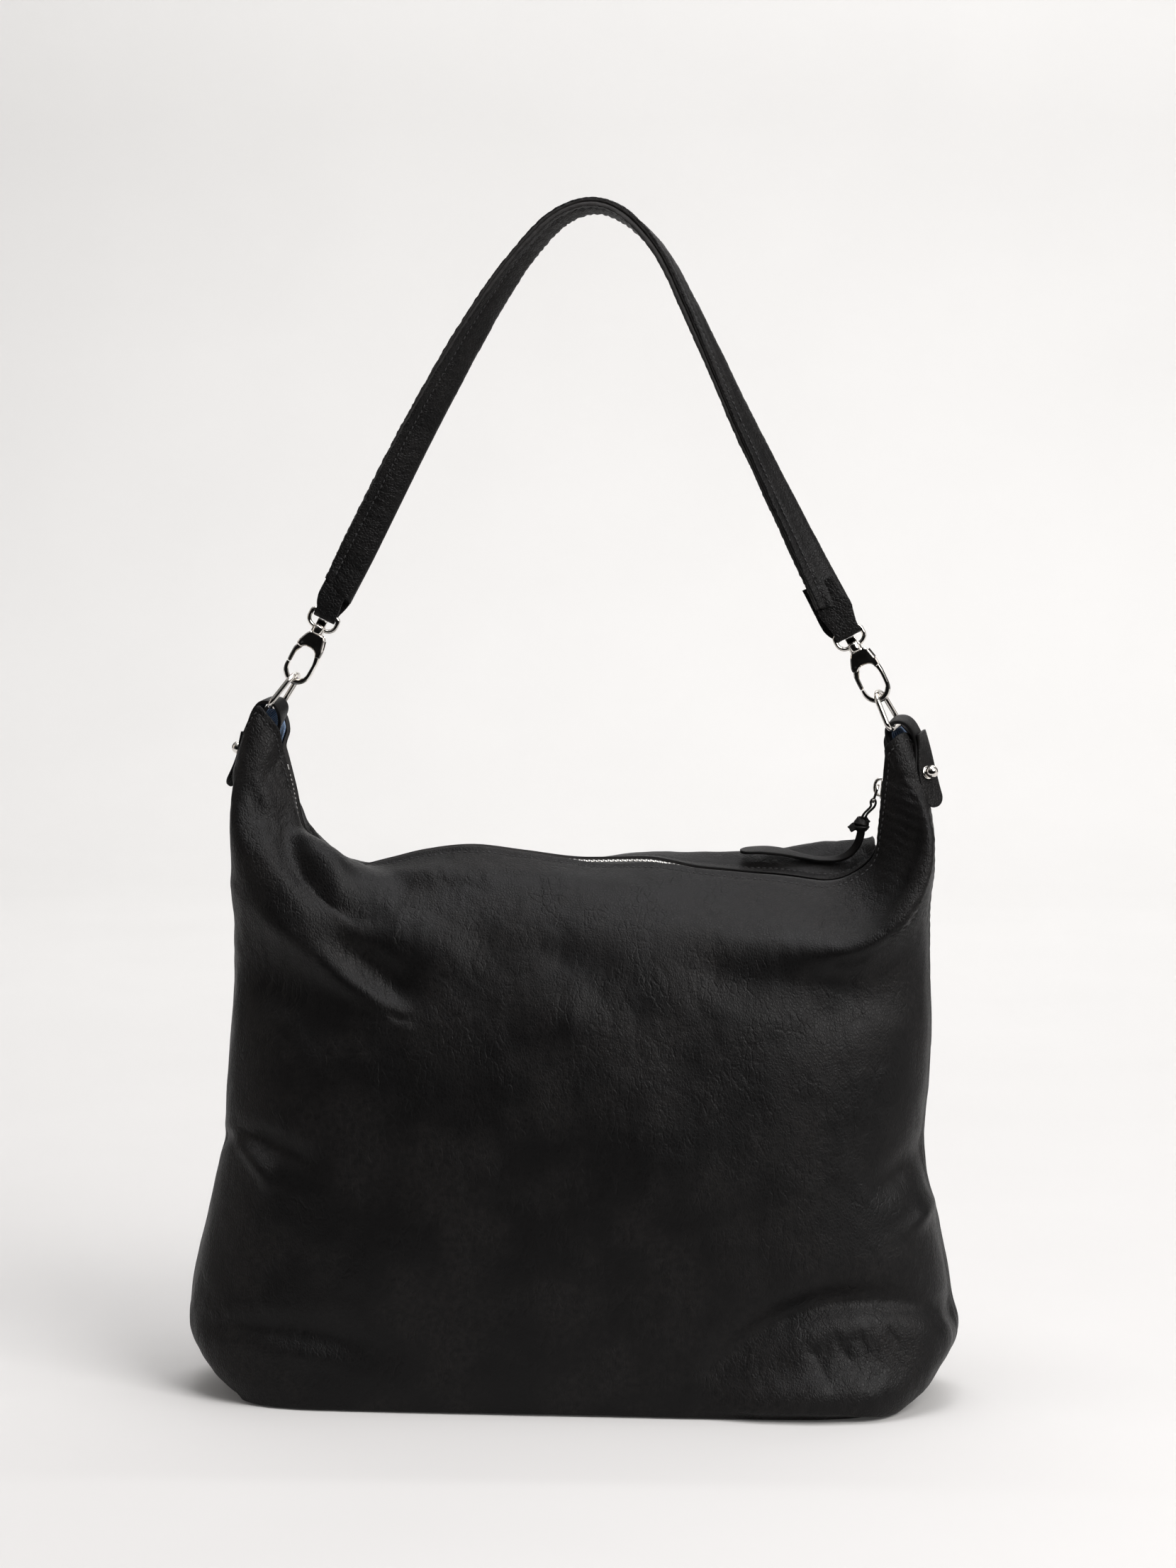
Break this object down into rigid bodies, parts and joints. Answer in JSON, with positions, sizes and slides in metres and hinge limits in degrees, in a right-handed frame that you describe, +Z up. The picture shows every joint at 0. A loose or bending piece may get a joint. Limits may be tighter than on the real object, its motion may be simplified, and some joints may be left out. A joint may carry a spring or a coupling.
{
  "type": "hobo bag",
  "caption": "Soft pebbled leather hobo bag with a top zip, denim lining, ring tabs on ball studs at the upper corners and a clip-on shoulder strap.",
  "frame": {"origin": "middle of the base on the ground", "axes": "+Z up, -Y towards the front, +X to the right seen from the front"},
  "size_m": [0.422, 0.149, 0.6468],
  "materials": {
    "black_leather": "milled pebbled grain, semi-matte black",
    "denim_lining": "blue denim twill with a slight sparkle",
    "zip_tape": "black woven zip tape",
    "nickel": "polished nickel",
    "zip_metal": "bright zip metal"
  },
  "bodies": {
    "bag": {"front_panel": "black_leather", "back_panel": "black_leather", "base_panel": "black_leather", "lining_front": "denim_lining", "lining_back": "denim_lining", "lining_base": "denim_lining", "zip_tape_front": "zip_tape", "zip_tape_back": "zip_tape", "zip_teeth_front": "zip_metal", "zip_teeth_back": "zip_metal", "zip_stop_left": "zip_metal", "zip_stop_right": "zip_metal", "zip_thong": "black_leather", "ring_tab_left": "black_leather", "ring_tab_right": "black_leather", "stud_patch_left": "black_leather", "stud_patch_right": "black_leather", "stud_left": "nickel", "stud_right": "nickel"},
    "strap": {"shoulder_strap": "black_leather", "strap_loop_left": "nickel", "strap_loop_right": "nickel"},
    "hook_left": {"hook_body_left": "nickel", "gate_pin_left": "nickel", "gate_spring_left": "zip_metal", "swivel_stem_left": "nickel"},
    "hook_right": {"hook_body_right": "nickel", "gate_pin_right": "nickel", "gate_spring_right": "zip_metal", "swivel_stem_right": "nickel"},
    "gate_left": {"gate_left": "nickel"},
    "gate_right": {"gate_right": "nickel"},
    "ring_left": {"ring_left": "nickel"},
    "ring_right": {"ring_right": "nickel"},
    "zip_slider": {"zip_slider": "nickel"},
    "zip_pull": {"zip_pull_ring": "nickel"}
  },
  "joints": [
    {"name": "strap_swing", "type": "hinge", "parent": "bag", "child": "strap", "pos_m": [-0.1516, 0, 0.3883], "axis": [0.9997, 0, -0.0253], "range_deg": [-80, 80]},
    {"name": "hook_left_swivel", "type": "hinge", "parent": "strap", "child": "hook_left", "pos_m": [-0.1516, 0, 0.3883], "axis": [-0.4226, 0, -0.9063], "range_deg": [-30, 30]},
    {"name": "hook_right_swivel", "type": "hinge", "parent": "strap", "child": "hook_right", "pos_m": [0.1685, 0, 0.3802], "axis": [-0.4226, 0, 0.9063], "range_deg": [-30, 30]},
    {"name": "gate_left_open", "type": "hinge", "parent": "hook_left", "child": "gate_left", "pos_m": [-0.14682, 0, 0.40968], "axis": [0, -1, 0], "range_deg": [0, 22], "stiffness_Nm_per_rad": 0.02, "springref_deg": -9.74},
    {"name": "gate_right_open", "type": "hinge", "parent": "hook_right", "child": "gate_right", "pos_m": [0.1552, 0, 0.39761], "axis": [0, -1, 0], "range_deg": [0, 22], "stiffness_Nm_per_rad": 0.02, "springref_deg": -9.74},
    {"name": "ring_left_tip", "type": "hinge", "parent": "bag", "child": "ring_left", "pos_m": [-0.1626, 0, 0.3712], "axis": [0.0698, 0.9976, 0], "range_deg": [-4, 3]},
    {"name": "ring_right_tip", "type": "hinge", "parent": "bag", "child": "ring_right", "pos_m": [0.1762, 0, 0.3646], "axis": [0.0698, 0.9976, 0], "range_deg": [-4, 3]},
    {"name": "zip_slide", "type": "slide", "parent": "bag", "child": "zip_slider", "axis": [-0.0878, 0, -0.9961], "range_m": [0, 0.024], "deforming": ["zip_thong"]},
    {"name": "zip_pull_tip", "type": "hinge", "parent": "zip_slider", "child": "zip_pull", "pos_m": [0.16726, 0, 0.33355], "axis": [0, 1, 0], "range_deg": [-15, 120]}
  ]
}
